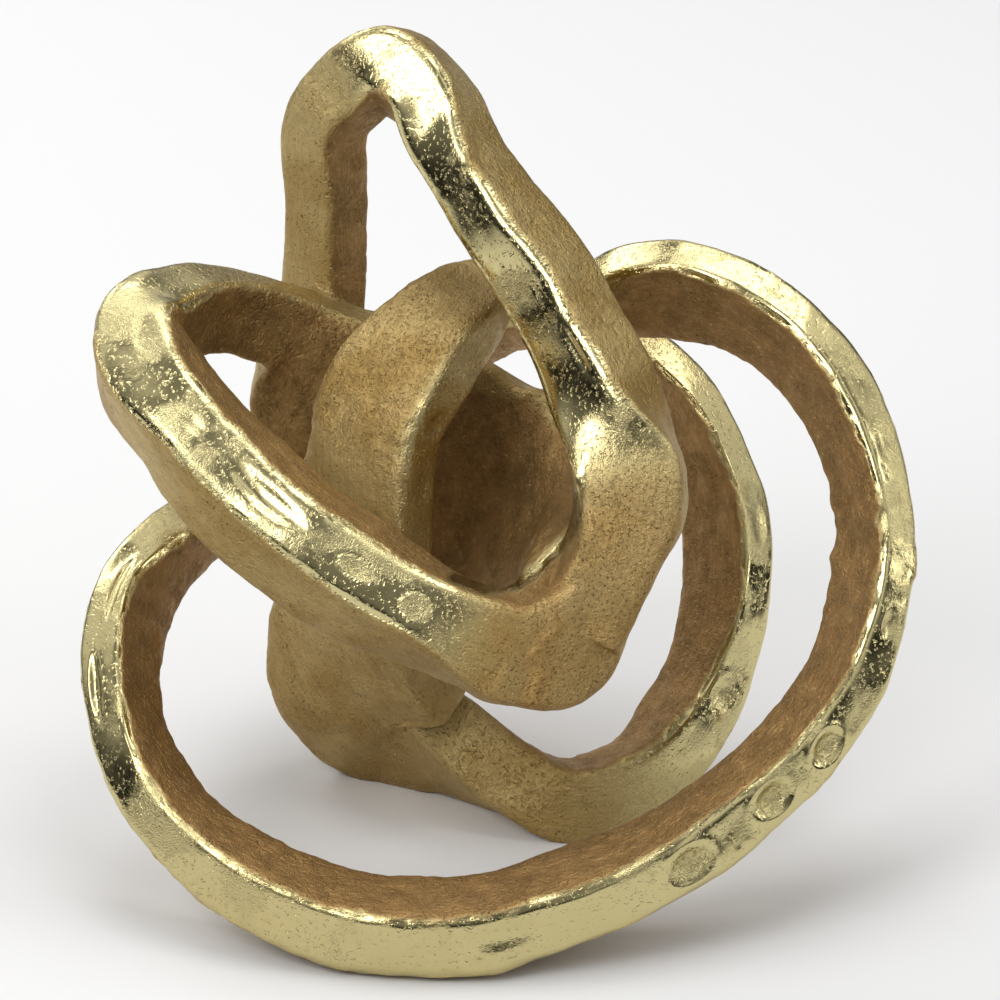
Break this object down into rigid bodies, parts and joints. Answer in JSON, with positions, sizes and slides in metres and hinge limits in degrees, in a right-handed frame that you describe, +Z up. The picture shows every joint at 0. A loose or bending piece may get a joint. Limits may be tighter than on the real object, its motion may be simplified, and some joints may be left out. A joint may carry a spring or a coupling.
{
  "type": "disentanglement puzzle",
  "caption": "Free-standing metal disentanglement puzzle: heavy hand-cast rectangular bands, a large ring and a smaller ring linked together with a twin link of a loop and a tall arch",
  "frame": {"origin": "on the floor, under the centre of the puzzle's bounding box", "axes": "+Z up, -Y to the front where the bright rims face, +X to the right seen from the front"},
  "size_m": [0.2058, 0.1668, 0.1935],
  "materials": {
    "ring_gold": "cast aluminium with a pale gold finish, polished on the rims and satin brown on the inner walls",
    "link_gold": "cast aluminium with a pale gold finish, hammered and polished in front, satin elsewhere"
  },
  "bodies": {
    "inner_body": {"inner_ring": "ring_gold"},
    "large_body": {"large_ring": "ring_gold"},
    "twin_body": {"left_loop": "link_gold", "top_arch": "link_gold"}
  },
  "joints": [
    {"name": "large_ring_lift", "type": "hinge", "parent": "inner_body", "child": "large_body", "pos_m": [0.0179, 0.063, 0.1169], "axis": [-1, 0, 0], "range_deg": [0, 6.5]},
    {"name": "twin_link_tip", "type": "hinge", "parent": "inner_body", "child": "twin_body", "pos_m": [-0.0191, 0.0419, 0.1047], "axis": [-1, 0, 0], "range_deg": [0, 14]}
  ]
}
